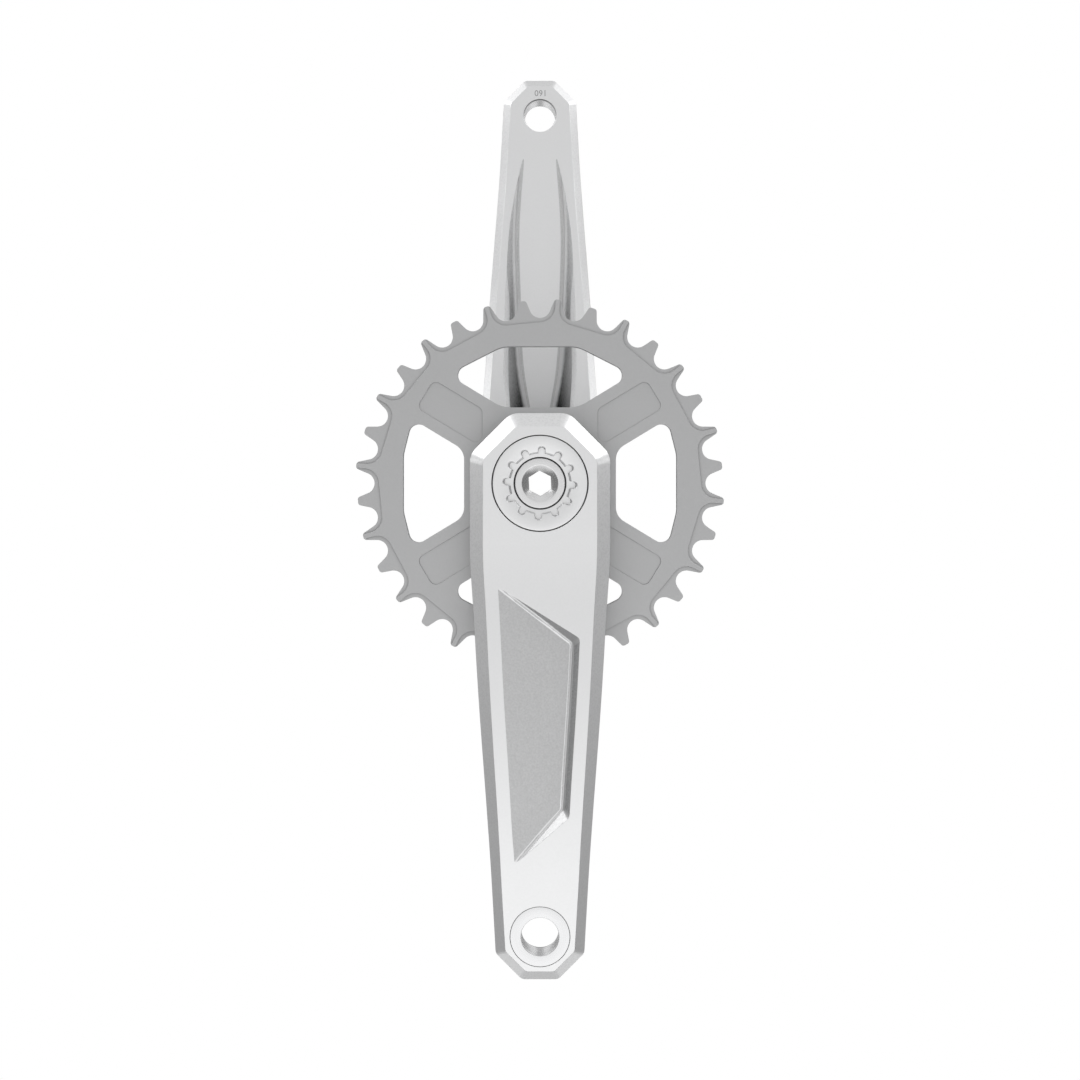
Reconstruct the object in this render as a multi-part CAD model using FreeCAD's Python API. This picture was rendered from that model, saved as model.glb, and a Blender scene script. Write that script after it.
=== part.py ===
import FreeCAD, Part
import math
import os

# A bicycle crankset: two forged aluminium arms on a hollow 30 mm spindle, with a
# direct-mount narrow-wide chainring, a self-extracting crank bolt and a preload collar.
#
# The origin is on the spindle's axis, at the middle of the bottom bracket. +X is forward,
# +Z is up, and the spindle runs along Y. The drive side is at -Y, and its arm hangs down.

os.makedirs("parts", exist_ok=True)
Vector = FreeCAD.Vector
DRIVE = -1
NONDRIVE = 1

# Whole crankset
crank_length = 160.0
pedal_faces_apart = 170.0

# Arm blank
pedal_thickness = 14.4
pedal_half = 15.7
pedal_face_half = 12.2
pedal_bevel_depth = 3.0
pedal_corner = 3.0
pedal_face_corner = 2.4
pedal_flare = 0.056
pedal_flat_length = 14.0
boss_setback = 6.0
boss_thickness = 20.0
boss_half = 25.2
boss_face_half = 20.4
boss_bevel_depth = 5.5
boss_corner = 7.0
boss_face_corner = 5.0
boss_flat_length = 22.0
back_bevel = 3.0

# Sculpted pocket in the outer face
outer_pocket_top = 36.6
outer_pocket_tip = 25.0
outer_pocket_top_slope = 35.4
outer_pocket_tip_slope = 40.2
outer_pocket_crease_margin = 4.8
outer_pocket_rim_margin = 4.6
outer_pocket_depth = 3.0
outer_pocket_side_run = 2.4
outer_pocket_end_run = 3.6
outer_pocket_corner = 3.0
outer_pocket_fillet = 1.9

# Long pocket in the inner face
inner_pocket_start = 18.0
inner_pocket_drop = 1.9
inner_pocket_bevel = 2.0
inner_pocket_fillet = 3.8
hub_wall_radius = 27.0

# Pedal thread inserts
insert_radius = 10.45
insert_bore = 6.75
insert_gap = 0.2
insert_edge = 0.4
pedal_lip = 2.0
pedal_lip_bore = 7.15

# Spindle and its splined end
spindle_radius = 15.0
spindle_wall = 3.0
spindle_edge = 0.6
spindle_end_inset = 2.5
spindle_end_gap = 1.2
bond_gap = 0.03
spline_count = 20
spline_shoulder = 2.5
spline_depth = 1.0
spline_wall = 2.3
spline_crest_share = 0.4
spline_root_share = 0.6
spline_gap = 0.04
spline_end_gap = 1.5
spindle_thread_length = 22.0
spindle_cone_length = 8.0

# Crank bolt and its washers
thread_gap = 0.05
bolt_nose_step = 0.2
bolt_nose_inset = 2.4
bolt_nose_edge = 0.4
bolt_flange_overhang = 1.9
bolt_flange_thickness = 3.2
bolt_length = 20.0
bolt_hex = 8.0
bolt_hex_depth = 10.0
bolt_hex_turn = 2.5
bolt_mouth_radius = 6.6
bolt_mouth_slope = 30.0
bolt_bore = 5.2
seat_washer_thickness = 1.0
extractor_washer_thickness = 0.6
flange_gap = 0.5

# Extractor cap
cap_rim = 2.65
cap_gap = 0.25
cap_thickness = 6.0
cap_edge = 0.4
cap_bore_gap = 0.4
cap_flat_width = 2.45
cap_dish_depth = 0.6
cap_socket_depth = 2.1
cap_socket_width = 1.65
cap_lobe_length = 2.15
cap_lobe_width = 2.6
cap_lobe_count = 12
cap_lobe_turn = 3.0

# Direct mount behind the drive boss
hub_height = 2.0
hub_margin = 1.6
spigot_wall = 4.1
spigot_height = 7.0
mount_gap = 0.05
mount_screw_wall = 1.8
mount_screw_count = 3
mount_screw_radius = 2.5
mount_screw_length = 9.0
mount_screw_gap = 0.2
mount_screw_head_radius = 3.7
mount_screw_head_height = 2.5
screw_edge = 0.4
mount_screw_hex = 3.0
mount_screw_hex_depth = 1.6
mount_tap_extra = 1.5

# Chainring
tooth_count = 32
chain_pitch = 12.7
root_round = 3.9
flank_angle = 17.5
tip_round = 1.1
narrow_tooth_height = 2.52
wide_tooth_height = 3.07
ring_thickness = 4.0
narrow_thickness = 2.1
relief_round = 5.5
spoke_slope = 31.2
spoke_half_band = 10.35
spoke_offset = 6.3
window_near = 27.9
window_far = 50.3
window_end = 47.0
window_shoulder = 10.6
window_near_round = 6.0
window_far_round = 12.0
window_tip_round = 3.6
window_top_end = 34.0
pad_depth = 0.4
pad_half_band = 6.1
pad_near = 21.2
pad_far = 53.2
pad_round = 2.6

# Preload collar, wave washer and spacers
neck_wall = 2.5
neck_height = 6.6
collar_gap = 0.05
collar_clearance = 0.5
collar_wall = 4.85
collar_thread_length = 6.5
collar_lip = 1.7
collar_lip_gap = 0.3
collar_edge = 0.6
collar_slot = 1.4
collar_lug_half = 6.5
collar_lug_height = 3.0
collar_lug_root = 2.5
collar_lug_round = 1.5
collar_notch_gap = 0.4
collar_flute_count = 14
collar_flute_radius = 2.2
collar_flute_depth = 0.6
collar_screw_inset = 1.1
collar_screw_radius = 1.5
collar_screw_length = 11.0
collar_screw_gap = 0.15
collar_screw_head_radius = 2.6
collar_screw_head_height = 1.8
collar_screw_hex = 2.0
collar_screw_hex_depth = 1.1
spacer_wall = 4.4
spacer_thickness = 2.5
spacer_gap = 0.1
spacer_edge = 0.3
wave_washer_width = 3.2
wave_washer_steel = 0.5
wave_washer_height = 0.9
wave_washer_gap = 0.4
wave_count = 3

# How far a cutter runs past what it cuts
over = 1.0

# Radii that follow from the spindle's
spindle_bore = spindle_radius - spindle_wall
spline_radius = spindle_radius - spline_shoulder
thread_radius = spline_radius - spline_depth - spline_wall
bolt_nose_radius = thread_radius - bolt_nose_step
bolt_flange_radius = spline_radius + bolt_flange_overhang
cap_bore = bolt_nose_radius + cap_bore_gap
cap_radius = bolt_flange_radius + cap_rim
cap_dish_radius = cap_radius - cap_flat_width
cap_socket_radius = cap_bore + cap_socket_width
cap_lobe_reach = cap_socket_radius + cap_lobe_length
spigot_radius = spline_radius + spigot_wall
mount_screw_circle = spigot_radius + mount_screw_wall + mount_screw_radius
hub_radius = mount_screw_circle + mount_screw_radius + hub_margin
neck_radius = spindle_radius + neck_wall
collar_radius = neck_radius + collar_gap + collar_wall
collar_lug_reach = collar_radius + collar_lug_height
collar_screw_reach = collar_radius - collar_screw_inset
spacer_radius = spindle_radius + spacer_gap + spacer_wall
wave_washer_bore = spindle_radius + wave_washer_gap
wave_washer_radius = wave_washer_bore + wave_washer_width

# Places along the spindle, as distances from the middle plane
pedal_face = pedal_faces_apart / 2
pedal_back = pedal_face - pedal_thickness
insert_seat = pedal_back + pedal_lip
boss_face = pedal_face - boss_setback
boss_back = boss_face - boss_thickness
ring_seat = boss_back - hub_height
ring_back = ring_seat - ring_thickness
spigot_end = ring_seat - spigot_height
cap_seat = boss_face - cap_thickness
flange_top = cap_seat - extractor_washer_thickness
flange_seat = flange_top - bolt_flange_thickness
washer_seat = flange_seat - seat_washer_thickness
spline_end = washer_seat - spline_end_gap
spindle_end = boss_face - spindle_end_inset
neck_end = boss_back - neck_height
collar_far = boss_back - collar_clearance
collar_near = collar_far - collar_thread_length - collar_lip
wave_washer_near = collar_near - wave_washer_height

# Places along an arm, as distances from the spindle's axis
beam_start = boss_flat_length
beam_end = crank_length - pedal_flat_length
octagon_share = math.tan(math.radians(22.5))
pedal_flare_rise = pedal_flare * (pedal_flat_length + octagon_share * pedal_half)
beam_end_half = pedal_half + pedal_flare_rise
beam_end_face_half = pedal_face_half + pedal_flare_rise

# The beam between the boss and the pedal eye is drawn at these shares of its length. Each
# share in the other rows says how far its size has gone from the boss's to the pedal's.
stations = (0.0, 0.16, 0.31, 0.47, 0.71, 0.85, 1.0)
taper_shares = (0.0, 0.13, 0.272, 0.43, 0.704, 0.858, 1.0)
sweep_shares = (0.0, 0.155, 0.443, 0.71, 0.947, 0.998, 1.0)
back_shares = (0.0, 0.174, 0.336, 0.51, 0.77, 0.922, 1.0)

# Half widths of the inner pocket, as shares of the arm's half width at each station
pocket_rim_shares = (0.49, 0.56, 0.59, 0.617, 0.675, 0.607, 0.50)
pocket_floor_shares = (0.22, 0.334, 0.446, 0.487, 0.558, 0.53, 0.51)
pocket_bevel_shares = (1.0, 1.0, 1.0, 0.9, 0.0, 0.0, 0.0)
pocket_faded_lean = 0.9

DOWN = Vector(0, 0, -1)
AXIS = Vector(0, 1, 0)
ORIGIN = Vector(0, 0, 0)


def mix(start, end, share):
    return start + (end - start) * share


def opposite(shape):
    """The shape turned inside out through the origin: a drive-side piece's other hand."""
    for normal in (Vector(1, 0, 0), Vector(0, 1, 0), Vector(0, 0, 1)):
        shape = shape.mirror(ORIGIN, normal)
    return shape


def disc(side, radius, near, far, x=0.0, z=0.0):
    """Cylinder along the spindle, between two distances from the middle plane."""
    low = min(side * near, side * far)
    return Part.makeCylinder(radius, abs(far - near), Vector(x, low, z), AXIS)


def tube(side, radius, bore, near, far, x=0.0, z=0.0):
    wall = disc(side, radius, near, far, x, z)
    return wall.cut(disc(side, bore, near - over, far + over, x, z))


def turned(profile, side=NONDRIVE):
    """Solid of revolution about the spindle's axis, from (radius, distance) corners."""
    corners = [Vector(radius, side * place, 0) for radius, place in profile]
    face = Part.Face(Part.makePolygon(corners + corners[:1]))
    return face.revolve(ORIGIN, AXIS, 360)


def hexagon(side, across, near, far, turn=0.0):
    """Hexagonal prism on the spindle's axis, with a corner up before it is turned."""
    reach = across / math.sqrt(3)
    corners = []
    for step in range(6):
        angle = math.radians(90 + 60 * step + turn)
        corners.append(Vector(reach * math.cos(angle), side * near, reach * math.sin(angle)))
    face = Part.Face(Part.makePolygon(corners + corners[:1]))
    return face.extrude(Vector(0, side * (far - near), 0))


def rounded_outline(corners, rounds, y):
    """Closed wire through (x, z) corners in the plane at y, each with its own rounding."""
    places = [Vector(x, y, z) for x, z in corners]
    edges = []
    ends = []
    for i, corner in enumerate(places):
        before = (places[i - 1] - corner).normalize()
        after = (places[(i + 1) % len(places)] - corner).normalize()
        if rounds[i] == 0:
            ends.append((corner, corner))
            continue
        half_angle = before.getAngle(after) / 2
        reach = rounds[i] / math.tan(half_angle)
        bisector = (before + after).normalize()
        nearest = corner + bisector * (rounds[i] / math.sin(half_angle) - rounds[i])
        start = corner + before * reach
        end = corner + after * reach
        edges.append(Part.Arc(start, nearest, end).toShape())
        ends.append((start, end))
    for i in range(len(ends)):
        edges.append(Part.makeLine(ends[i - 1][1], ends[i][0]))
    return Part.Wire(Part.__sortEdges__(edges))


def plate(wire, thickness):
    """Wire filled and thickened towards +Y."""
    return Part.Face(wire).extrude(Vector(0, thickness, 0))


def rail(points, start_way, end_way):
    """Smooth edge through the points, leaving and arriving along the given ways."""
    curve = Part.BSplineCurve()
    curve.interpolate(Points=points, InitialTangent=start_way, FinalTangent=end_way)
    return curve.toShape()


def solid_between(rails):
    """Solid with a ruled face between each rail and the next, and a flat face at each end."""
    faces = [Part.makeRuledSurface(rails[i - 1], rails[i]) for i in range(len(rails))]
    for end in (0, -1):
        corners = [edge.Vertexes[end].Point for edge in rails]
        faces.append(Part.Face(Part.makePolygon(corners + corners[:1])))
    shell = Part.Shell(faces)
    shell.sewShape()
    solid = Part.Solid(shell)
    if solid.Volume < 0:
        solid.reverse()
    return solid


def largest_facing(shape, way):
    """The face that shows the largest area to something that looks against the way."""
    def shown(face):
        first_u, last_u, first_v, last_v = face.ParameterRange
        normal = face.normalAt((first_u + last_u) / 2, (first_v + last_v) / 2)
        return face.Area * normal.dot(way)
    return max(shape.Faces, key=shown)


def rims_at(shape, way):
    """Round edges of a turned piece's flat end."""
    return [edge for edge in largest_facing(shape, way).Edges if edge.Closed]


# Arm blank, drawn as the drive arm: it hangs towards -Z, and its outer face looks to -Y.

def distance_at(share):
    return mix(beam_start, beam_end, share)


def half_at(i):
    return mix(boss_half, beam_end_half, taper_shares[i])


def face_half_at(i):
    return mix(boss_face_half, beam_end_face_half, taper_shares[i])


def face_at(i):
    return mix(boss_face, pedal_face, sweep_shares[i])


def back_at(i):
    return mix(boss_back, pedal_back, back_shares[i])


def on_arm(x, place, i):
    """Point of the arm at one station."""
    return Vector(x, -place, -distance_at(stations[i]))


def beam_corner(i, corner):
    """Corner of the right half of the beam's section, counted from its face to its back."""
    bevel_depth = mix(boss_bevel_depth, pedal_bevel_depth, stations[i])
    return (
        (face_half_at(i), face_at(i)),
        (half_at(i), face_at(i) - bevel_depth),
        (half_at(i), back_at(i) + back_bevel),
        (half_at(i) - back_bevel, back_at(i)),
    )[corner]


def beam():
    """Middle of the arm: a faceted bar that tapers and sweeps outwards to the pedal."""
    back_slope = (pedal_back - boss_back) / (beam_end - beam_start)
    rails = []
    for hand, order in ((1, (0, 1, 2, 3)), (-1, (3, 2, 1, 0))):
        for corner in order:
            points = []
            for i in range(len(stations)):
                x, place = beam_corner(i, corner)
                points.append(on_arm(hand * x, place, i))
            start_way = Vector(0, -back_slope, -1) if corner > 1 else DOWN
            rails.append(rail(points, start_way, Vector(-hand * pedal_flare, 0, -1)))
    return solid_between(rails)


def boss_outline(half, side_half):
    near = octagon_share * half
    return [
        (side_half, -beam_start), (half, near), (near, half),
        (-near, half), (-half, near), (-side_half, -beam_start),
    ]


def pedal_outline(half, side_half):
    near = octagon_share * half
    return [
        (side_half, -beam_end), (half, -crank_length - near), (near, -crank_length - half),
        (-near, -crank_length - half), (-half, -crank_length - near), (-side_half, -beam_end),
    ]


def faceted_end(outline, layers):
    """End of the arm, lofted through layers of (half width, side half, rounding, place)."""
    wires = []
    for half, side_half, corner, place in layers:
        rounds = [0, corner, corner, corner, corner, 0]
        wires.append(rounded_outline(outline(half, side_half), rounds, -place))
    solid = Part.makeLoft(wires[0:2], True, True)
    for start in range(1, len(wires) - 1):
        solid = solid.fuse(Part.makeLoft(wires[start:start + 2], True, True))
    return solid


def boss_end():
    back_half = boss_half - back_bevel
    return faceted_end(boss_outline, (
        (boss_face_half, boss_face_half, boss_face_corner, boss_face),
        (boss_half, boss_half, boss_corner, boss_face - boss_bevel_depth),
        (boss_half, boss_half, boss_corner, boss_back + back_bevel),
        (back_half, back_half, boss_face_corner, boss_back),
    ))


def pedal_end():
    back_half = pedal_half - back_bevel
    return faceted_end(pedal_outline, (
        (pedal_face_half, beam_end_face_half, pedal_face_corner, pedal_face),
        (pedal_half, beam_end_half, pedal_corner, pedal_face - pedal_bevel_depth),
        (pedal_half, beam_end_half, pedal_corner, pedal_back + back_bevel),
        (back_half, beam_end_half - back_bevel, pedal_face_corner, pedal_back),
    ))


def face_place(distance):
    """Place of the arm's outer face at a distance from the spindle, between stations."""
    share = (distance - beam_start) / (beam_end - beam_start)
    for i in range(1, len(stations)):
        if share <= stations[i]:
            part_way = (share - stations[i - 1]) / (stations[i] - stations[i - 1])
            return mix(face_at(i - 1), face_at(i), part_way)
    return pedal_face


def beyond_wall(rim_point, rim_slope, into, run):
    """Block behind a pocket's end wall, which leans by its run over the pocket's depth."""
    size = 100.0
    slope = math.radians(rim_slope)
    along = Vector(math.cos(slope), 0, math.sin(slope))
    inwards = Vector(-into * math.sin(slope), 0, into * math.cos(slope))
    slant = (inwards * (run / outer_pocket_depth) + AXIS).normalize()
    normal = along.cross(slant)
    if normal.dot(inwards) > 0:
        normal = normal * -1
    corners = []
    for a, b in ((-1, -1), (1, -1), (1, 1), (-1, 1)):
        corners.append(rim_point + along * (a * size) + slant * (b * size))
    face = Part.Face(Part.makePolygon(corners + corners[:1]))
    return face.extrude(normal * size)


def outer_pocket():
    """Sculpted pocket: its floor leaves the face along a crease and sinks towards one side."""
    beside = 4.0
    above = 4.0
    crease, floor, rim, air = [], [], [], []
    for i in range(len(stations)):
        crease_x = outer_pocket_crease_margin - face_half_at(i)
        rim_x = face_half_at(i) - outer_pocket_rim_margin
        floor_x = rim_x - outer_pocket_side_run
        sink = outer_pocket_depth / (floor_x - crease_x)
        rim_air_x = rim_x + above * outer_pocket_side_run / outer_pocket_depth
        crease.append(on_arm(crease_x - beside, face_at(i) + sink * beside, i))
        floor.append(on_arm(floor_x, face_at(i) - outer_pocket_depth, i))
        rim.append(on_arm(rim_air_x, face_at(i) + above, i))
        air.append(on_arm(crease_x - beside, face_at(i) + above, i))
    cutter = solid_between([rail(points, DOWN, DOWN) for points in (crease, floor, rim, air)])
    top_x = outer_pocket_crease_margin - face_half_at(1)
    tip_distance = crank_length - outer_pocket_tip
    tip_x = outer_pocket_crease_margin - face_half_at(len(stations) - 2)
    top = Vector(top_x, -face_place(outer_pocket_top), -outer_pocket_top)
    tip = Vector(tip_x, -face_place(tip_distance), -tip_distance)
    cutter = cutter.cut(beyond_wall(top, -outer_pocket_top_slope, -1, outer_pocket_end_run))
    cutter = cutter.cut(beyond_wall(tip, outer_pocket_tip_slope, 1, outer_pocket_end_run))
    corners = [edge for edge in cutter.Edges if runs_up_a_corner(edge)]
    cutter = cutter.makeFillet(outer_pocket_corner, corners)
    floor = largest_facing(cutter, AXIS)
    foot = [edge for edge in floor.Edges if max(v.Point.x for v in edge.Vertexes) > 0]
    return cutter.makeFillet(outer_pocket_fillet, foot)


def runs_up_a_corner(edge):
    """Whether an edge of the pocket joins its floor's right corners to its rim's."""
    start, end = (vertex.Point for vertex in edge.Vertexes)
    return min(start.x, end.x) > 0 and abs(start.y - end.y) > edge.Length / 2


def inner_pocket():
    """Long pocket between two rims that rise from the pedal eye's back towards the boss."""
    above = 3.0
    start_share = (crank_length - inner_pocket_start - beam_start) / (beam_end - beam_start)
    half_rails = ([], [], [])
    for i, share in enumerate(stations):
        floor_x = half_at(i) * pocket_floor_shares[i]
        floor_place = pedal_back + inner_pocket_drop * (1 - share / start_share)
        bevel = inner_pocket_bevel * pocket_bevel_shares[i]
        rim_x = half_at(i) * pocket_rim_shares[i]
        wall_top = back_at(i) + bevel
        if bevel <= 0:
            rim_x += above * pocket_faded_lean
            wall_top = back_at(i) - above
        half_rails[0].append((floor_x, floor_place))
        half_rails[1].append((rim_x, wall_top))
        half_rails[2].append((rim_x + max(bevel, 0) + above, wall_top - max(bevel, 0) - above))
    rails = []
    for hand, order in ((1, (0, 1, 2)), (-1, (2, 1, 0))):
        for k in order:
            points = [on_arm(hand * x, place, i) for i, (x, place) in enumerate(half_rails[k])]
            rails.append(rail(points, DOWN, DOWN))
    cutter = solid_between(rails)
    floor = largest_facing(cutter, AXIS * -1)
    long_edges = [edge for edge in floor.Edges if edge.Length > crank_length / 2]
    cutter = cutter.makeFillet(inner_pocket_fillet, long_edges)
    return cutter.cut(disc(DRIVE, hub_wall_radius, 0, pedal_face))


def fitted_arm_body():
    """The arm with its pockets and its pedal eye, without what its spindle end needs."""
    body = beam().fuse([boss_end(), pedal_end()]).removeSplitter()
    body = body.cut(outer_pocket()).cut(inner_pocket())
    eye = disc(DRIVE, insert_radius + insert_gap, insert_seat, pedal_face + over, z=-crank_length)
    lip = disc(DRIVE, pedal_lip_bore, pedal_back - over, pedal_face, z=-crank_length)
    return body.cut(eye).cut(lip)


def spline(gap, near, far):
    """Straight-sided splined prism; a gap makes the hole that such a shaft slides into."""
    corners = []
    pitch = 2 * math.pi / spline_count
    crest = spline_crest_share / 2
    root = spline_root_share / 2
    for tooth in range(spline_count):
        for half, drop in ((-root, spline_depth), (-crest, 0), (crest, 0), (root, spline_depth)):
            reach = spline_radius - drop + gap
            angle = pitch * (tooth + half) + math.copysign(gap / reach, half)
            corners.append(Vector(reach * math.cos(angle), -near, reach * math.sin(angle)))
    face = Part.Face(Part.makePolygon(corners + corners[:1]))
    return face.extrude(Vector(0, near - far, 0))


def mount_screw_places():
    places = []
    for screw in range(mount_screw_count):
        angle = math.radians(90 + 360 * screw / mount_screw_count)
        places.append((mount_screw_circle * math.cos(angle), mount_screw_circle * math.sin(angle)))
    return places


def drive_arm():
    arm = fitted_arm_body()
    arm = arm.fuse(disc(DRIVE, hub_radius, ring_seat, boss_back + back_bevel))
    arm = arm.fuse(disc(DRIVE, spigot_radius, spigot_end, boss_back + back_bevel))
    arm = arm.cut(disc(DRIVE, cap_radius + cap_gap, cap_seat, boss_face + over))
    arm = arm.cut(disc(DRIVE, bolt_flange_radius + flange_gap, washer_seat, boss_face))
    arm = arm.cut(spline(spline_gap, spigot_end - over, boss_face))
    tap_end = ring_back + mount_screw_length + mount_tap_extra
    for x, z in mount_screw_places():
        hole_radius = mount_screw_radius + thread_gap
        arm = arm.cut(disc(DRIVE, hole_radius, ring_seat - over, tap_end, x, z))
    return arm.removeSplitter()


def nondrive_arm():
    arm = opposite(fitted_arm_body())
    arm = arm.fuse(disc(NONDRIVE, neck_radius, neck_end, boss_back + back_bevel))
    arm = arm.cut(disc(NONDRIVE, spindle_radius + bond_gap, neck_end - over, boss_face + over))
    end_pocket = spindle_radius + spindle_end_gap
    arm = arm.cut(disc(NONDRIVE, end_pocket, spindle_end, boss_face + over))
    return arm.removeSplitter()


def drive_pedal_insert():
    ring = tube(DRIVE, insert_radius, insert_bore, insert_seat, pedal_face, z=-crank_length)
    return ring.makeChamfer(insert_edge, rims_at(ring, AXIS * -1))


def spindle():
    core_radius = spline_radius - spline_depth
    thread_end = spline_end - spindle_thread_length
    shaft = turned((
        (thread_radius, -spline_end), (core_radius, -spline_end), (core_radius, -spigot_end),
        (spindle_radius, -spigot_end), (spindle_radius, spindle_end - spindle_edge),
        (spindle_radius - spindle_edge, spindle_end), (spindle_bore, spindle_end),
        (spindle_bore, spindle_cone_length - thread_end), (thread_radius, -thread_end),
    ))
    teeth = spline(0, spigot_end - over, spline_end)
    teeth = teeth.cut(disc(DRIVE, thread_radius, 0, boss_face))
    return shaft.fuse(teeth).removeSplitter()


def crank_bolt():
    nose_end = boss_face - bolt_nose_inset
    shank_end = flange_seat - bolt_length
    hex_end = nose_end - bolt_hex_depth
    shank_radius = thread_radius - thread_gap
    bolt = turned((
        (0, nose_end), (bolt_nose_radius - bolt_nose_edge, nose_end),
        (bolt_nose_radius, nose_end - bolt_nose_edge), (bolt_nose_radius, flange_top),
        (bolt_flange_radius, flange_top), (bolt_flange_radius, flange_seat),
        (shank_radius, flange_seat), (shank_radius, shank_end + spindle_edge),
        (shank_radius - spindle_edge, shank_end), (0, shank_end),
    ), DRIVE)
    hex_reach = bolt_hex / math.sqrt(3)
    mouth_slope = math.tan(math.radians(bolt_mouth_slope))
    mouth_end = nose_end - mouth_slope * (bolt_mouth_radius - hex_reach)
    mouth = turned((
        (0, nose_end + over), (bolt_mouth_radius + over / mouth_slope, nose_end + over),
        (hex_reach, mouth_end), (0, mouth_end),
    ), DRIVE)
    bolt = bolt.cut(mouth)
    bolt = bolt.cut(hexagon(DRIVE, bolt_hex, hex_end, nose_end + over, bolt_hex_turn))
    return bolt.cut(disc(DRIVE, bolt_bore, shank_end - over, hex_end))


def bolt_washer():
    bore = thread_radius + cap_bore_gap
    return tube(DRIVE, bolt_flange_radius, bore, washer_seat, flange_seat)


def extractor_washer():
    return tube(DRIVE, bolt_flange_radius, cap_bore, flange_top, cap_seat)


def extractor_cap():
    """Screwed ring, dished towards a recess of twelve rounded lobes for its tool."""
    socket = boss_face - cap_dish_depth - cap_socket_depth
    cap = turned((
        (cap_bore, cap_seat), (cap_radius, cap_seat),
        (cap_radius, boss_face - cap_edge), (cap_radius - cap_edge, boss_face),
        (cap_dish_radius, boss_face), (cap_bore, boss_face - cap_dish_depth),
    ), DRIVE)
    cutter = disc(DRIVE, cap_socket_radius, socket, boss_face + over)
    lobe_half = cap_lobe_width / 2
    lobe_centre = cap_lobe_reach - lobe_half
    lobe = Part.makeBox(
        lobe_centre, boss_face + over - socket, cap_lobe_width,
        Vector(0, -boss_face - over, -lobe_half))
    lobe = lobe.fuse(disc(DRIVE, lobe_half, socket, boss_face + over, x=lobe_centre))
    for step in range(cap_lobe_count):
        placed = lobe.copy()
        placed.rotate(ORIGIN, AXIS, cap_lobe_turn + 360 * step / cap_lobe_count)
        cutter = cutter.fuse(placed)
    return cap.cut(cutter.removeSplitter())


# Chainring, drawn on the plane of its outer face.
pitch_angle = 2 * math.pi / tooth_count
pitch_radius = chain_pitch / 2 / math.sin(pitch_angle / 2)
half_gap = pitch_radius * math.sin(pitch_angle / 2)
narrow_tip = pitch_radius + narrow_tooth_height
wide_tip = pitch_radius + wide_tooth_height


def polar(reach, aside, angle):
    """(x, z) of a point at a reach along a direction and a distance to its left."""
    x = reach * math.cos(angle) - aside * math.sin(angle)
    z = reach * math.sin(angle) + aside * math.cos(angle)
    return x, z


def toothed_outline():
    """Ring's outline: three corners a tooth, whose roundings are the tip and the root."""
    lean = math.radians(flank_angle)
    gap_reach = pitch_radius - root_round / math.sin(lean + pitch_angle / 2)
    foot_reach = gap_reach * math.cos(pitch_angle / 2)
    foot_aside = gap_reach * math.sin(pitch_angle / 2)
    corners = []
    rounds = []
    for tooth in range(tooth_count):
        angle = (tooth + 0.5) * pitch_angle
        tip = narrow_tip if tooth % 2 == 0 else wide_tip
        tip_aside = foot_aside - (tip - foot_reach) * math.tan(lean)
        corners.append(polar(tip, -tip_aside, angle))
        corners.append(polar(tip, tip_aside, angle))
        corners.append(polar(gap_reach, 0, angle + pitch_angle / 2))
        rounds += [tip_round, tip_round, root_round]
    return rounded_outline(corners, rounds, -ring_seat)


def relief_outline(tooth):
    """Edge of the milled step that thins one narrow tooth and half of the gaps beside it."""
    angle = (tooth + 0.5) * pitch_angle
    bottom = pitch_radius * math.cos(pitch_angle / 2) - relief_round
    raised_half = half_gap - relief_round
    outside = wide_tip + relief_round
    inside = (bottom - raised_half * math.sin(pitch_angle)) / math.cos(pitch_angle)
    corners = [
        polar(outside, raised_half, angle - pitch_angle),
        polar(inside, raised_half, angle - pitch_angle),
        polar(inside, -raised_half, angle + pitch_angle),
        polar(outside, -raised_half, angle + pitch_angle),
    ]
    return rounded_outline(corners, [0, relief_round, relief_round, 0], -ring_seat)


def on_spoke(x, height):
    """(x, z) on the line that runs along a spoke at a height over its parallel at the axis."""
    slope = math.radians(spoke_slope)
    return x, (height + x * math.sin(slope)) / math.cos(slope)


def side_window():
    """Window between the two spokes on the +X side."""
    low = spoke_offset - spoke_half_band
    near = on_spoke(window_near, low)
    end = on_spoke(window_end, low)
    upper = [near, end, (window_far, window_shoulder)]
    corners = upper + [(x, -z) for x, z in reversed(upper)]
    rounds = [window_near_round, window_tip_round, window_far_round]
    return rounded_outline(corners, rounds + rounds[::-1], -ring_seat)


def top_window():
    """Window over the boss, between the upper two spokes."""
    slope = math.radians(spoke_slope)
    high = spoke_offset + spoke_half_band
    near_x = (window_near * math.cos(slope) - high) / math.sin(slope)
    right = [(near_x, window_near), on_spoke(window_top_end, high), (near_x, window_far)]
    corners = right + [(-x, z) for x, z in reversed(right)]
    rounds = [window_far_round, window_tip_round, window_far_round]
    return rounded_outline(corners, rounds + rounds[::-1], -ring_seat)


def pad_outline():
    """Shallow pad on the upper spoke of the +X side."""
    slope = math.radians(spoke_slope)
    low = spoke_offset - pad_half_band
    high = spoke_offset + pad_half_band
    corners = [
        on_spoke(pad_near, low), on_spoke(pad_near, high),
        polar(pad_far, high, slope), polar(pad_far, low, slope),
    ]
    return rounded_outline(corners, [pad_round] * 4, -ring_seat)


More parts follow.
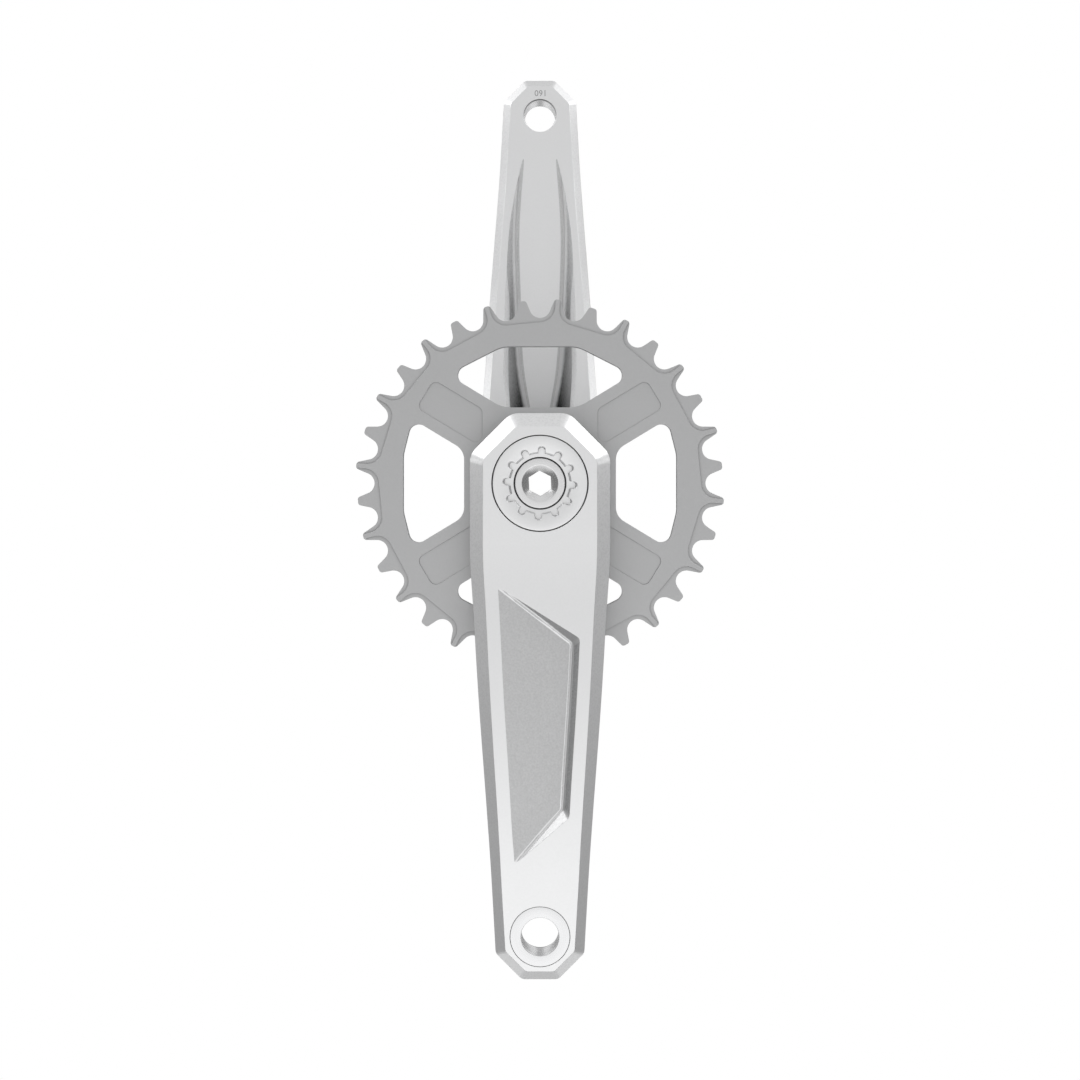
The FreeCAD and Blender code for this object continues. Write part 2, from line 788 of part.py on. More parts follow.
def chainring():
    ring = plate(toothed_outline(), ring_thickness)
    opening = disc(DRIVE, spigot_radius + mount_gap, ring_back - over, ring_seat + over)
    cutters = [opening]
    for x, z in mount_screw_places():
        hole_radius = mount_screw_radius + mount_screw_gap
        cutters.append(disc(DRIVE, hole_radius, ring_back - over, ring_seat + over, x, z))
    for window in (side_window(), top_window()):
        cutter = plate(window, ring_thickness)
        turned_cutter = cutter.copy()
        turned_cutter.rotate(ORIGIN, AXIS, 180)
        cutters += [cutter, turned_cutter]
    relief = (ring_thickness - narrow_thickness) / 2
    for tooth in range(0, tooth_count, 2):
        front = plate(relief_outline(tooth), relief)
        back = front.copy()
        back.translate(Vector(0, ring_thickness - relief, 0))
        cutters += [front, back]
    pad = plate(pad_outline(), pad_depth)
    for normal in (Vector(1, 0, 0), Vector(0, 0, 1)):
        cutters.append(pad.mirror(ORIGIN, normal))
    cutters.append(pad)
    cutters.append(pad.mirror(ORIGIN, Vector(1, 0, 0)).mirror(ORIGIN, Vector(0, 0, 1)))
    return ring.cut(cutters)


def chainring_screws():
    """Low-headed screws, put in from the inner side."""
    head_end = ring_back - mount_screw_head_height
    shank_end = ring_back + mount_screw_length
    screws = []
    for x, z in mount_screw_places():
        screw = turned((
            (0, head_end), (mount_screw_head_radius - screw_edge, head_end),
            (mount_screw_head_radius, head_end + screw_edge),
            (mount_screw_head_radius, ring_back), (mount_screw_radius, ring_back),
            (mount_screw_radius, shank_end - screw_edge),
            (mount_screw_radius - screw_edge, shank_end), (0, shank_end),
        ), DRIVE)
        socket_end = head_end + mount_screw_hex_depth
        screw = screw.cut(hexagon(DRIVE, mount_screw_hex, head_end - over, socket_end))
        screw.translate(Vector(x, 0, z))
        screws.append(screw)
    return Part.makeCompound(screws)


# Non-drive end of the spindle

def spacer(side, near):
    ring = tube(side, spacer_radius, spindle_radius + spacer_gap, near, near + spacer_thickness)
    rims = [edge for edge in ring.Edges if edge.Closed and edge.Curve.Radius > spindle_radius + over]
    return ring.makeChamfer(spacer_edge, rims)


def wave_washer():
    """Thin spring ring that rises and falls three times on its way round."""
    amplitude = (wave_washer_height - wave_washer_steel) / 2
    middle = wave_washer_near + wave_washer_height / 2
    steps = 8 * wave_count

    def circle(radius, height):
        points = []
        for step in range(steps):
            angle = 2 * math.pi * step / steps
            wave = amplitude * math.cos(wave_count * angle)
            points.append(Vector(radius * math.cos(angle), middle + height + wave,
                                 radius * math.sin(angle)))
        curve = Part.BSplineCurve()
        curve.interpolate(Points=points, PeriodicFlag=True)
        return curve.toShape()

    half = wave_washer_steel / 2
    rims = [
        circle(wave_washer_bore, -half), circle(wave_washer_radius, -half),
        circle(wave_washer_radius, half), circle(wave_washer_bore, half),
    ]
    shell = Part.Shell([Part.makeRuledSurface(rims[i - 1], rims[i]) for i in range(4)])
    shell.sewShape()
    solid = Part.Solid(shell)
    if solid.Volume < 0:
        solid.reverse()
    return solid


def preload_collar():
    """Split threaded ring: its lip pushes the washer, and a lug between notches is pinched."""
    collar = turned((
        (spindle_radius + collar_lip_gap, collar_near), (collar_radius - collar_edge, collar_near),
        (collar_radius, collar_near + collar_edge), (collar_radius, collar_far - collar_edge),
        (collar_radius - collar_edge, collar_far), (neck_radius + collar_gap, collar_far),
        (neck_radius + collar_gap, collar_near + collar_lip),
        (spindle_radius + collar_lip_gap, collar_near + collar_lip),
    ))
    flute_reach = collar_radius + collar_flute_radius - collar_flute_depth
    flutes = []
    for step in range(collar_flute_count):
        x, z = polar(flute_reach, 0, 2 * math.pi * step / collar_flute_count)
        flutes.append(disc(NONDRIVE, collar_flute_radius, collar_near - over, collar_far + over, x, z))
    collar = collar.cut(flutes)
    collar = collar.fuse(collar_lug()).cut(collar_screw_hole())
    outermost = collar_lug_reach + over
    length = collar_far - collar_near + 2 * over
    corner = Vector(-outermost, collar_near - over, -collar_slot / 2)
    collar = collar.cut(Part.makeBox(outermost, length, collar_slot, corner))
    notch_width = outermost - collar_screw_reach + collar_screw_head_radius + collar_notch_gap
    notch_height = collar_radius - collar_lug_half
    corner.z = collar_lug_half
    notch = Part.makeBox(notch_width, length, notch_height, corner)
    return collar.cut([notch, notch.mirror(ORIGIN, DOWN)])


def collar_lug():
    """Lug on the collar's rear side, flush with its faces."""
    root = neck_radius + collar_lug_root
    corners = [
        (-root, -collar_lug_half), (-root, collar_lug_half),
        (-collar_lug_reach, collar_lug_half), (-collar_lug_reach, -collar_lug_half),
    ]
    rounds = [0, 0, collar_lug_round, collar_lug_round]
    outline = rounded_outline(corners, rounds, collar_near + collar_edge)
    return plate(outline, collar_far - collar_near - 2 * collar_edge)


def collar_screw_axis():
    return Vector(-collar_screw_reach, (collar_near + collar_far) / 2, collar_lug_half)


def collar_screw_hole():
    """Clearance down to the slot, and a thread beyond it."""
    top = collar_screw_axis() - DOWN * over
    clearance_radius = collar_screw_radius + collar_screw_gap
    clearance = Part.makeCylinder(clearance_radius, over + collar_lug_half, top, DOWN)
    thread_length = 2 * (over + collar_lug_half)
    thread = Part.makeCylinder(collar_screw_radius + thread_gap, thread_length, top, DOWN)
    return clearance.fuse(thread)


def collar_screw():
    seat = collar_screw_axis()
    head = Part.makeCylinder(collar_screw_head_radius, collar_screw_head_height, seat)
    head = head.makeChamfer(screw_edge, rims_at(head, DOWN * -1))
    shank = Part.makeCylinder(collar_screw_radius, collar_screw_length, seat, DOWN)
    socket = hexagon(DRIVE, collar_screw_hex, 0, collar_screw_hex_depth + over)
    socket.rotate(ORIGIN, Vector(1, 0, 0), -90)
    socket.translate(seat - DOWN * (collar_screw_head_height - collar_screw_hex_depth))
    return head.fuse(shank).cut(socket).removeSplitter()


pieces = {
    "drive_arm": drive_arm(),
    "nondrive_arm": nondrive_arm(),
    "drive_pedal_insert": drive_pedal_insert(),
    "nondrive_pedal_insert": opposite(drive_pedal_insert()),
    "spindle": spindle(),
    "crank_bolt": crank_bolt(),
    "bolt_washer": bolt_washer(),
    "extractor_washer": extractor_washer(),
    "extractor_cap": extractor_cap(),
    "chainring": chainring(),
    "chainring_screws": chainring_screws(),
    "drive_spacer": spacer(DRIVE, spigot_end - spacer_thickness),
    "nondrive_spacer": spacer(NONDRIVE, wave_washer_near - spacer_thickness),
    "wave_washer": wave_washer(),
    "preload_collar": preload_collar(),
    "collar_screw": collar_screw(),
}
for name, shape in pieces.items():
    shape.exportStep(f"parts/{name}.step")
    print(name, len(shape.Solids), shape.isValid(), round(shape.Volume), len(shape.Faces))
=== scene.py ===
# %% [markdown]
# # A bicycle crankset in satin aluminium
#
# The solids of the crankset are already made at their real size. This script dresses them: it
# gives each one the finish it has on a real crankset, makes the turned and threaded pieces
# again with the fine forms that a solid model leaves out, and lights the whole as a studio
# photographer would.
#
# We start by loading the solids as a fixed frame, and read a solid's box where a piece needs it.

# %% Load the frame
import math

import bpy
import numpy as np
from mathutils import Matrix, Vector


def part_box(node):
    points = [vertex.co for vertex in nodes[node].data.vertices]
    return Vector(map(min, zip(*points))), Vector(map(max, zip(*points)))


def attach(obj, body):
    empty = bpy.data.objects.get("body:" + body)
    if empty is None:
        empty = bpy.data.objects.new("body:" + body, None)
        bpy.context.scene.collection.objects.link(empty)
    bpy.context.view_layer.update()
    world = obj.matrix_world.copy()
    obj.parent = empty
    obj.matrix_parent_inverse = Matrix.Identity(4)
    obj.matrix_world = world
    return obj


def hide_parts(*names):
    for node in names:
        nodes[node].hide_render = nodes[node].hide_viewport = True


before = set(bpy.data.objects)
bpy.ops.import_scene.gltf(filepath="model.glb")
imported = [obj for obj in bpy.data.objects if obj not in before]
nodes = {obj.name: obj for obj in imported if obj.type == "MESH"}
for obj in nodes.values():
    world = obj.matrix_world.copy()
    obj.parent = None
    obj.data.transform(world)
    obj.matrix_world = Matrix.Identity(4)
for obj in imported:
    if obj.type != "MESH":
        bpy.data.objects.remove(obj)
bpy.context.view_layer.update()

MM = 0.001

print("solids:", ", ".join(sorted(nodes)))

# %% [markdown]
# ## Writing a finish as a sum
#
# A finish is a small graph of shader nodes. Drawn as a graph it is hard to read, so we wrap a
# socket in a class whose operators add Math nodes. A grain then reads as what it is, such as
# `0.34 + 0.05 * grain`. Every other node comes from one method, which takes the node's type,
# its settings and the values or links of its sockets.

# %% A socket with operators


class Field:
    """A number or a vector that varies over a surface: one output socket of a shader graph."""

    def __init__(self, graph, socket):
        self.graph = graph
        self.socket = socket

    def math(self, operation, *values):
        inputs = dict(enumerate(values))
        return self.graph.add("ShaderNodeMath", {"operation": operation}, inputs)

    def __add__(self, other):
        return self.math("ADD", self, other)

    __radd__ = __add__

    def __sub__(self, other):
        return self.math("SUBTRACT", self, other)

    def __rsub__(self, other):
        return self.math("SUBTRACT", other, self)

    def __mul__(self, other):
        return self.math("MULTIPLY", self, other)

    __rmul__ = __mul__

    def __truediv__(self, other):
        return self.math("DIVIDE", self, other)

    def __abs__(self):
        return self.math("ABSOLUTE", self)

    def power(self, exponent):
        return self.math("POWER", self, exponent)

    def larger(self, other):
        return self.math("MAXIMUM", self, other)

    def beside(self, output):
        """Another output of the same node."""
        return Field(self.graph, self.socket.node.outputs[output])

    def parts(self):
        """The x, y and z of a vector."""
        x = self.graph.add("ShaderNodeSeparateXYZ", {}, {"Vector": self})
        return x, x.beside("Y"), x.beside("Z")


class Graph:
    """The shader graph of one finish, filled through add()."""

    def __init__(self, tree):
        self.tree = tree
        tree.nodes.clear()

    def add(self, kind, settings=None, inputs=None, output=0):
        """Node of a kind: its settings go first, then each socket gets a value or a link."""
        node = self.tree.nodes.new(kind)
        for name, value in (settings or {}).items():
            setattr(node, name, value)
        for name, value in (inputs or {}).items():
            if isinstance(value, Field):
                self.tree.links.new(value.socket, node.inputs[name])
            else:
                node.inputs[name].default_value = value
        return Field(self, node.outputs[output]) if node.outputs else node

    def ramp(self, value, start, end, low=0.0, high=1.0):
        """Smooth step of a field, from low at its start to high at its end."""
        return self.add("ShaderNodeMapRange", {"interpolation_type": "SMOOTHSTEP"}, {
            "Value": value, "From Min": start, "From Max": end, "To Min": low, "To Max": high})

    def noise(self, place, size, detail=2.0):
        """Cloudy pattern between 0 and 1 whose patches are about as wide as size."""
        return self.add("ShaderNodeTexNoise", {}, {
            "Vector": place, "Scale": 1 / size, "Detail": detail}, "Fac")

    def blend(self, share, first, second):
        """Colour that goes from the first to the second."""
        settings = {"data_type": "RGBA"}
        inputs = {"Factor": share, 6: first, 7: second}
        return self.add("ShaderNodeMix", settings, inputs, 2)


def new_finish(name):
    material = bpy.data.materials.new(name)
    material.use_nodes = True
    return material, Graph(material.node_tree)


def surface(graph, shader):
    graph.add("ShaderNodeOutputMaterial", {}, {"Surface": shader})


def place_on_object(graph):
    """Position on the object, in metres from the crankset's origin."""
    return graph.add("ShaderNodeTexCoord", {}, {}, "Object")


BLACK = [0, 0, 0, 1]


def opaque(colour):
    """A colour with its full alpha."""
    return [*colour, 1]


# %% [markdown]
# ## Edges, corners and grain
#
# No machined edge is sharp: it is broken by a few tenths of a millimetre, and that thin line
# catches the light. The Bevel node bends the normal near an edge in the same way, without a
# change to the mesh. The Bump node then lays the grain over it.
#
# A deep metal pocket is darker than its open rim. Light reaches its walls after several bounces,
# and the metal swallows a part at each one. The Ambient Occlusion node measures how closed a
# place is, and we blend the metal's colour towards black by it: painted shade in its colour.

# %% Eased edges and painted corner shade


def rounded_grain(graph, edge, height, depth):
    """Normal of a surface whose edges are eased by a radius and whose grain has a depth."""
    eased = graph.add("ShaderNodeBevel", {"samples": 6}, {"Radius": edge})
    return graph.add("ShaderNodeBump", {}, {
        "Height": height, "Strength": 1.0, "Distance": depth, "Normal": eased})


def painted_corner_shade(graph, reach):
    """Painted shade: 0 where a surface is open, up to 1 where others stand round it within a
    reach.
    """
    seen = graph.add("ShaderNodeAmbientOcclusion", {"samples": 8}, {"Distance": reach}, "AO")
    return graph.ramp(seen, 0.95, 0.5)


def lean(graph):
    """How far the surface's normal leans along each axis: the sizes of its x, y and z."""
    return [abs(part) for part in graph.add("ShaderNodeNewGeometry", {}, {}, "Normal").parts()]


# %% [markdown]
# ## Satin arms
#
# The arms are forged, machined, blasted with fine glass beads and then anodised clear. Blasting
# leaves dimples a tenth of a millimetre wide, which turn the mirror of bare aluminium into a
# soft sheen. Anodising adds a hard, faintly cool skin. We use a full metal with a middling
# roughness, and let a fine grain move the roughness and the normal a little. A second, wider
# pattern stands for the slight unevenness of the blasting.
#
# The flat faces are then polished a little, and the bevels and walls beside them keep their
# coarser speckle. A surface is steep when its normal turns away from the spindle's direction.
# Painted shade darkens the colour where a face is closed in, and the steep ones most.
#
# The sculpted pocket keeps the coarsest grain, which is duller and darker. Its floor is the
# only surface of the arm that leans gently to one side, so the normal's parts sideways and
# along the spindle find it.

# %% Satin alloy


def pocket_floor(graph):
    """1 on the floor of the sculpted pocket, whose normal leans a little sideways only."""
    sideways, along, _ = lean(graph)
    gentle = graph.ramp(sideways, 0.05, 0.08) * graph.ramp(sideways, 0.32, 0.26)
    return gentle * graph.ramp(along, 0.93, 0.96)


grain_size = 0.25 * MM
speckle_size = 0.7 * MM
cloud_size = 14 * MM


def satin_alloy(name, colour, roughness, edge, grain_depth, reach, has_pocket=False):
    """Metal blended to black by painted shade in closed corners, the pocket's floor and the
    speckle.
    """
    material, graph = new_finish(name)
    place = place_on_object(graph)
    grain = graph.noise(place, grain_size)
    clouds = graph.noise(place, cloud_size)
    speckle = graph.noise(place, speckle_size, 3.0)
    rough = pocket_floor(graph) if has_pocket else 0.0
    steep = graph.ramp(lean(graph)[1], 0.9, 0.5)
    coarse = 0.06 + 0.42 * steep + 0.16 * rough
    # Painted shade: the colour darkens where the Ambient Occlusion node finds the surface closed
    # in
    painted_shade_and_grain = painted_corner_shade(graph, reach) * (0.13 + 0.84 * steep)
    painted_shade_and_grain = painted_shade_and_grain + 0.26 * rough + 0.01 * clouds + coarse * (speckle - 0.43)
    shader = graph.add("ShaderNodeBsdfPrincipled", {}, {
        "Base Color": graph.blend(painted_shade_and_grain, opaque(colour), BLACK),
        "Metallic": 1.0,
        "Roughness": roughness + 0.05 * (grain - 0.5) + 0.03 * (clouds - 0.5) + 0.17 * rough,
        "Normal": rounded_grain(graph, edge, grain + 0.6 * speckle, grain_depth),
    })
    surface(graph, shader)
    return material


# The reach, just before has_pocket, sets how far each finish's painted corner shade looks
arm_finish = satin_alloy(
    "arm alloy", (0.90, 0.903, 0.908), 0.33, 0.3 * MM, 0.006 * MM, 25 * MM, has_pocket=True)
cap_finish = satin_alloy(
    "cap alloy", (0.91, 0.913, 0.918), 0.34, 0.08 * MM, 0.005 * MM, 1.2 * MM)
ring_finish = satin_alloy(
    "ring alloy", (0.575, 0.577, 0.581), 0.5, 0.15 * MM, 0.008 * MM, 1.5 * MM)
print("satin finishes:", arm_finish.name, cap_finish.name, ring_finish.name)

# %% [markdown]
# ## Turned steel
#
# The bolt, the pedal inserts and the washers come from a lathe, whose tool leaves very fine
# grooves around the part's own axis. Every turned piece here has an axis that runs along Y, so
# the distance from that axis gives the rings on a flat end, and the place along it gives those
# on a round wall. These two are all that the noise texture gets, so it makes closed grooves of
# uneven width.

# %% Turned steel


groove_width = 0.12 * MM
groove_depth = 0.0015 * MM
steel_edge = 0.05 * MM
steel_reach = 0.6 * MM


def turned_steel(name, colour, roughness, axis_z=0.0):
    """Metal with grooves at r = sqrt(x^2 + (z - axis)^2), so they run round the part's axis."""
    material, graph = new_finish(name)
    x, y, z = place_on_object(graph).parts()
    radius = (x * x + (z - axis_z) * (z - axis_z)).power(0.5)
    unrolled = graph.add("ShaderNodeCombineXYZ", {}, {"X": radius, "Y": y})
    rings = graph.noise(unrolled, groove_width, 1.0)
    # Painted shade darkens the colour in closed corners; the rings add a grain of tone
    painted_shade_and_grain = 0.3 * painted_corner_shade(graph, steel_reach) + 0.06 * (rings - 0.5)
    shader = graph.add("ShaderNodeBsdfPrincipled", {}, {
        "Base Color": graph.blend(painted_shade_and_grain, opaque(colour), BLACK),
        "Metallic": 1.0,
        "Roughness": roughness + 0.08 * (rings - 0.5),
        "Normal": rounded_grain(graph, steel_edge, rings, groove_depth),
    })
    surface(graph, shader)
    return material


def middle(node):
    """Middle of a solid's box, in millimetres."""
    low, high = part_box(node)
    return [(a + b) / 2 / MM for a, b in zip(low, high)]


pedal_z = middle("drive_pedal_insert")[2]
insert_colour = (0.86, 0.862, 0.87)
bolt_finish = turned_steel("bolt steel", (0.84, 0.84, 0.845), 0.26)
washer_finish = turned_steel("washer steel", (0.55, 0.55, 0.56), 0.32)
drive_insert_finish = turned_steel("drive insert steel", insert_colour, 0.27, pedal_z * MM)
far_insert_finish = turned_steel("far insert steel", insert_colour, 0.27, -pedal_z * MM)
print("pedal axis below the spindle:", round(-pedal_z, 2), "mm")

# %% [markdown]
# ## Dark and moulded pieces
#
# The spindle and the preload collar are hard anodised, which colours the aluminium black and
# leaves it half matt. The spacers and the slip ring are moulded from a glass-filled plastic,
# which is matt and slightly mottled. The screws are blackened steel.

# %% Anodised black, plastic and blackened steel


wear_size = 6 * MM
dark_edge = 0.2 * MM
dark_grain_depth = 0.01 * MM


def dark_coat(name, colour, roughness, metallic, mottle_size):
    """Dark skin that its grain and a wider wear make lighter in places."""
    material, graph = new_finish(name)
    place = place_on_object(graph)
    mottle = graph.noise(place, mottle_size)
    wear = graph.noise(place, wear_size, 4.0)
    worn = opaque(1.6 * part + 0.01 for part in colour)
    shader = graph.add("ShaderNodeBsdfPrincipled", {}, {
        "Base Color": graph.blend(0.5 * mottle + 0.3 * wear, opaque(colour), worn),
        "Metallic": metallic,
        "Roughness": roughness + 0.12 * (mottle - 0.5),
        "Normal": rounded_grain(graph, dark_edge, mottle, dark_grain_depth),
    })
    surface(graph, shader)
    return material


spindle_finish = dark_coat("anodised spindle", (0.028, 0.028, 0.031), 0.38, 0.6, 0.3 * MM)
collar_finish = dark_coat("anodised collar", (0.030, 0.030, 0.033), 0.42, 0.6, 0.25 * MM)
plastic_finish = dark_coat("moulded plastic", (0.022, 0.022, 0.023), 0.55, 0.0, 0.5 * MM)
slip_finish = dark_coat("slip ring plastic", (0.05, 0.05, 0.055), 0.5, 0.0, 0.5 * MM)
screw_finish = dark_coat("blackened steel", (0.045, 0.045, 0.048), 0.36, 0.8, 0.2 * MM)
dark_finishes = [spindle_finish, collar_finish, plastic_finish, slip_finish, screw_finish]
print("dark finishes:", ", ".join(finish.name for finish in dark_finishes))

# %% [markdown]
# ## Finishes on the solids
#
# A solid keeps its mesh and only takes a material into its slots.

# %% Dress the solids

finishes = {
    "drive_arm": arm_finish,
    "nondrive_arm": arm_finish,
    "drive_pedal_insert": drive_insert_finish,
    "nondrive_pedal_insert": far_insert_finish,
    "spindle": spindle_finish,
    "crank_bolt": bolt_finish,
    "bolt_washer": washer_finish,
    "extractor_washer": slip_finish,
    "extractor_cap": cap_finish,
    "chainring": ring_finish,
    "chainring_screws": screw_finish,
    "drive_spacer": plastic_finish,
    "nondrive_spacer": plastic_finish,
    "wave_washer": washer_finish,
    "preload_collar": collar_finish,
    "collar_screw": screw_finish,
}
for name, finish in finishes.items():
    slots = nodes[name].data.materials
    slots.clear()
    slots.append(finish)
print("dressed", len(finishes), "solids of", len(nodes))

# %% [markdown]
# ## Surfaces from arrays
#
# The new pieces are all closed rings round an axis. We write each one as rows: a row is a
# closed curve, and the rows follow the piece's profile from its back, over its face and down
# its bore. The whole grid is one numpy array, so a piece needs no loop over its vertices.

# %% A mesh from a grid


def surface_mesh(name, points, wrap_u=False, wrap_v=False):
    """Mesh of a grid of points: row i and column j meet their next ones, wrapped if asked."""
    rows, columns = points.shape[:2]
    index = np.arange(rows * columns).reshape(rows, columns)
    if wrap_u:
        index = np.concatenate([index, index[:1]], axis=0)
    if wrap_v:
        index = np.concatenate([index, index[:, :1]], axis=1)
    quads = np.stack([index[:-1, :-1], index[:-1, 1:], index[1:, 1:], index[1:, :-1]], axis=-1)
    mesh = bpy.data.meshes.new(name)
    mesh.from_pydata(points.reshape(-1, 3).tolist(), [], quads.reshape(-1, 4).tolist())
    mesh.update()
    made = bpy.data.objects.new(name, mesh)
    bpy.context.scene.collection.objects.link(made)
    return made


# %% [markdown]
# A turned profile has corners, and its edges are broken. We replace each corner by a short
# parabola. It leaves one side and joins the other at a given reach from the corner, and bends
# smoothly between them, so the light runs round it as on the real edge.

# %% Profiles with eased corners

corner_steps = 4


def profile_of(corners, angles):
    """Corners (radius, place, reach) as arrays: each value may differ from angle to angle."""
    grid = [[np.broadcast_to(value, angles.shape) for value in corner] for corner in corners]
    grid = np.array(grid).transpose(0, 2, 1)
    return grid[..., :2], grid[..., 2:]


def eased(corners, reach):
    """Each corner c becomes (1-t)^2 a + 2t(1-t) c + t^2 b, with a and b a reach away from it."""
    def towards(others):
        """Points a reach away, but never past the middle of a short side."""
        way = others - corners
        length = np.linalg.norm(way, axis=-1, keepdims=True)
        return corners + way * np.minimum(reach / length, 0.45)

    start = towards(np.roll(corners, 1, axis=0))
    end = towards(np.roll(corners, -1, axis=0))
    t = np.linspace(0, 1, corner_steps)[:, None, None, None]
    curve = (1 - t) ** 2 * start + 2 * t * (1 - t) * corners + t ** 2 * end
    return curve.transpose(1, 0, 2, 3).reshape(-1, *corners.shape[1:])


def round_piece(name, profile, angles, axis_z=0.0):
    """Closed surface: (x, y, z) = (r cos a, place, axis + r sin a), along the profile's rows."""
    radius, place = profile[..., 0], profile[..., 1]
    x = radius * np.cos(angles)
    z = axis_z + radius * np.sin(angles)
    return surface_mesh(name, np.stack([x, place, z], axis=-1) * MM, wrap_u=True, wrap_v=True)


def volume(piece):
    """Volume inside a closed mesh in cubic millimetres: a sixth of the sum of a . (b x c)."""
    mesh = piece.data
    mesh.calc_loop_triangles()
    corners = np.empty(len(mesh.loop_triangles) * 3, int)
    mesh.loop_triangles.foreach_get("vertices", corners)
    places = np.empty(len(mesh.vertices) * 3)
    mesh.vertices.foreach_get("co", places)
    a, b, c = places.reshape(-1, 3)[corners].reshape(-1, 3, 3).transpose(1, 0, 2)
    return np.sum(a * np.cross(b, c)) / 6 / MM ** 3


def stand_for(piece, node, finish):
    """Turns the piece's faces outwards and puts it in the place of a solid."""
    if volume(piece) < 0:
        piece.data.flip_normals()
    piece.data.shade_smooth()
    piece.data.set_sharp_from_angle(angle=math.radians(35))
    piece.data.materials.append(finish)
    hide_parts(node)
    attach(piece, "root")
    print(piece.name, len(piece.data.polygons), "faces,", round(volume(piece)), "cubic mm")


# %% [markdown]
# ## Extractor cap
#
# The cap closes the boss over the crank bolt and takes a toothed tool: its recess has twelve
# rounded lobes. A boolean cut would leave razor edges there. We work out the recess's outline
# instead, as one radius for each angle. A lobe is bounded by its tip's circle and by two
# parallel sides, and a smooth maximum joins it to the circle between the lobes. The same angles
# then serve every row, from the round rim to the lobed recess.

# %% Outline of the recess

lobe_count = 12
lobe_half_width = 1.3
lobe_reach = 13.2
recess_radius = 11.05
lobe_turn = 3.0
lobe_softness = 0.35


def smooth_larger(a, b, softness):
    """Larger of two values, rounded where they cross: (a + b + sqrt((a-b)^2 + s^2)) / 2."""
    return (a + b + np.sqrt((a - b) ** 2 + softness ** 2)) / 2


def lobed_radius(angles):
    """Tip: c cos f + sqrt(h^2 - (c sin f)^2). Sides: h / sin f. f is the angle from a lobe."""
    sector = 2 * np.pi / lobe_count
    aside = (angles + np.radians(lobe_turn) + sector / 2) % sector - sector / 2
    sine = np.maximum(np.abs(np.sin(aside)), 1e-6)
    centre = lobe_reach - lobe_half_width
    tip = centre * np.cos(aside) + np.sqrt(
        np.maximum(lobe_half_width ** 2 - (centre * sine) ** 2, 0))
    lobe = np.minimum(tip, lobe_half_width / sine)
    return smooth_larger(lobe, recess_radius, lobe_softness)


def even_angles(radius_at, count):
    """Angles that cut an outline into steps of equal length, from its sum of sqrt(dx^2 + dy^2)."""
    fine = np.linspace(0, 2 * np.pi, 40 * count + 1)
    radius = radius_at(fine)
    steps = np.hypot(np.diff(radius * np.cos(fine)), np.diff(radius * np.sin(fine)))
    length = np.concatenate([[0], np.cumsum(steps)])
    return np.interp(np.linspace(0, length[-1], count, endpoint=False), length, fine)


cap_angles = even_angles(lobed_radius, 1200)
recess_edge = lobed_radius(cap_angles)
print("recess radius from", round(recess_edge.min(), 2), "to", round(recess_edge.max(), 2), "mm")

# %% [markdown]
# The recess's walls lean a little, as a cutter leaves them, and each row of the profile below
# is a corner: its radius, its place along the spindle and the reach of its easing.

# %% Cap

cap_low, cap_high = (np.array(corner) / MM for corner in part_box("extractor_cap"))
cap_radius = cap_high[0]
cap_face, cap_seat = cap_low[1], cap_high[1]
cap_bore = 9.4
dish_radius = 14.6
dish_depth = 0.6
recess_depth = 2.1
recess_wall_run = 0.35

recess_floor = cap_face + dish_depth + recess_depth
dish_slope = dish_depth / (dish_radius - cap_bore)
cap_corners, cap_reach = profile_of([
    (cap_radius, cap_seat, 0.2),
    (cap_radius, cap_face, 0.45),
    (dish_radius, cap_face, 0.8),
    (recess_edge, cap_face + dish_slope * (dish_radius - recess_edge), 0.25),
    (recess_edge - recess_wall_run, recess_floor, 0.3),
    (cap_bore, recess_floor, 0.15),
    (cap_bore, cap_seat, 0.2),
], cap_angles)
cap = round_piece("lobed_cap", eased(cap_corners, cap_reach), cap_angles)
stand_for(cap, "extractor_cap", cap_finish)

# %% [markdown]
# ## Threads
#
# A pedal screws into a steel insert, and the crank bolt into the spindle. A thread is a ridge
# that climbs one pitch a turn, so its height depends on one number, its phase: the place along
# the axis in pitches, less the angle in turns. Changing the sign of the angle gives the
# left-handed thread of the far pedal. The ridge fades in over one pitch at each end.

# %% Thread rows

rows_per_pitch = 10


def thread_rows(start, end, base, height, pitch, hand, angles):
    """r = base + height * ridge(phase), with phase = place / pitch - hand * angle / 2 pi.

    The ridge is a triangle wave of the phase, cut flat at its crest and at its root.
    """
    count = int(abs(end - start) / pitch * rows_per_pitch)
    place = np.linspace(start, end, count)[:, None]
    phase = (place / pitch - hand * angles / (2 * np.pi)) % 1
    ridge = np.clip(1.4 * np.abs(2 * phase - 1) - 0.2, 0, 1)
    from_end = np.minimum(np.abs(place - start), np.abs(place - end)) / pitch
    radius = base + height * ridge * np.clip(from_end, 0, 1)
    return np.stack([radius, np.broadcast_to(place, radius.shape)], axis=-1)


# %% [markdown]
# ## Pedal inserts
#
# An aluminium thread would wear under a steel pedal axle, so a threaded steel ring is pressed
# into each arm. The thread has 20 turns to the inch, and its ridge is kept shallow here, so that
# the bore stays as open as the solid's. The ring is a tenth of a millimetre wider than the
# solid, which leaves the hairline gap that shows round the real one. The far insert lies
# opposite the near one, and its thread climbs the other way, as the left pedal's does.

# %% Inserts

insert_low, insert_high = (np.array(corner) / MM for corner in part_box("drive_pedal_insert"))
gap_filled = 0.1
insert_radius = insert_high[0] + gap_filled
insert_face, insert_seat = insert_low[1], insert_high[1]
pedal_crest = 6.68
pedal_thread_height = 0.1
pedal_pitch = 25.4 / 20
mouth_reach = 0.5

insert_angles = np.linspace(0, 2 * np.pi, 180, endpoint=False)


